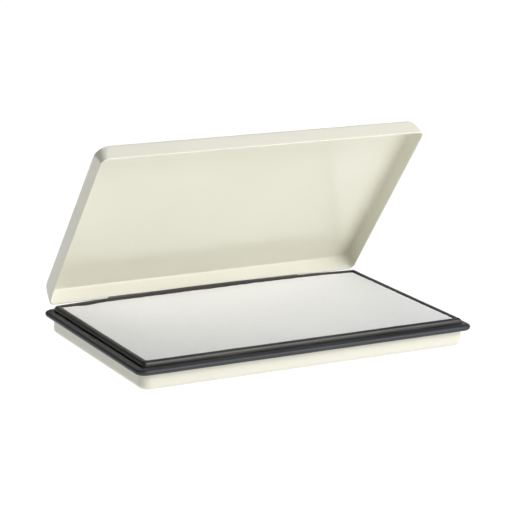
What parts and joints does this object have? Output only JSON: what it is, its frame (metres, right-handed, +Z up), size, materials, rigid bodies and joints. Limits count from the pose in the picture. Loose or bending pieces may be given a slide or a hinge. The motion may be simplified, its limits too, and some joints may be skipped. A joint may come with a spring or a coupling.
{
  "type": "wet palette",
  "caption": "Shallow hinged sheet-metal case holding a damp absorbent pad under a membrane, with a moulded pad frame, a sealing bead and a lid that swings open.",
  "frame": {"origin": "middle of the tray's flat underside, which stands on the table", "axes": "+Z up out of the pad, +X along the long side, +Y towards the hinged side"},
  "size_m": [0.166, 0.1053, 0.0942],
  "materials": {
    "tray_enamel": "satin cream enamel on pressed steel",
    "lid_enamel": "satin cream enamel on pressed steel",
    "liner_plastic": "plain moulded",
    "board_plastic": "plain moulded",
    "sponge_foam": "open-cell foam",
    "felt_wool": "pressed felt",
    "membrane_cloth": "fine white weave",
    "frame_moulding": "satin black moulding",
    "seal_rubber": "smooth black rubber",
    "hinge_steel": "plain rolled sheet",
    "pin_steel": "drawn wire",
    "stud_steel": "plain formed heads"
  },
  "bodies": {
    "base": {"base_tray": "tray_enamel", "reservoir_liner": "liner_plastic", "backing_board": "board_plastic", "sponge_core": "sponge_foam", "felt_layer": "felt_wool", "membrane_sheet": "membrane_cloth", "pad_frame": "frame_moulding", "seal_bead": "seal_rubber", "base_hinge_leaf_left": "hinge_steel", "base_hinge_leaf_right": "hinge_steel", "hinge_pin_left": "pin_steel", "hinge_pin_right": "pin_steel", "base_stud_left_1": "stud_steel", "base_stud_left_2": "stud_steel", "base_stud_right_1": "stud_steel", "base_stud_right_2": "stud_steel"},
    "lid": {"lid_shell": "lid_enamel", "lid_hinge_leaf_left": "hinge_steel", "lid_hinge_leaf_right": "hinge_steel", "lid_stud_left_1": "stud_steel", "lid_stud_left_2": "stud_steel", "lid_stud_right_1": "stud_steel", "lid_stud_right_2": "stud_steel"}
  },
  "joints": [
    {"name": "lid_hinge", "type": "hinge", "parent": "base", "child": "lid", "pos_m": [0, 0.0507, 0.0108], "axis": [-1, 0, 0], "range_deg": [-53.9, 126.1]}
  ]
}
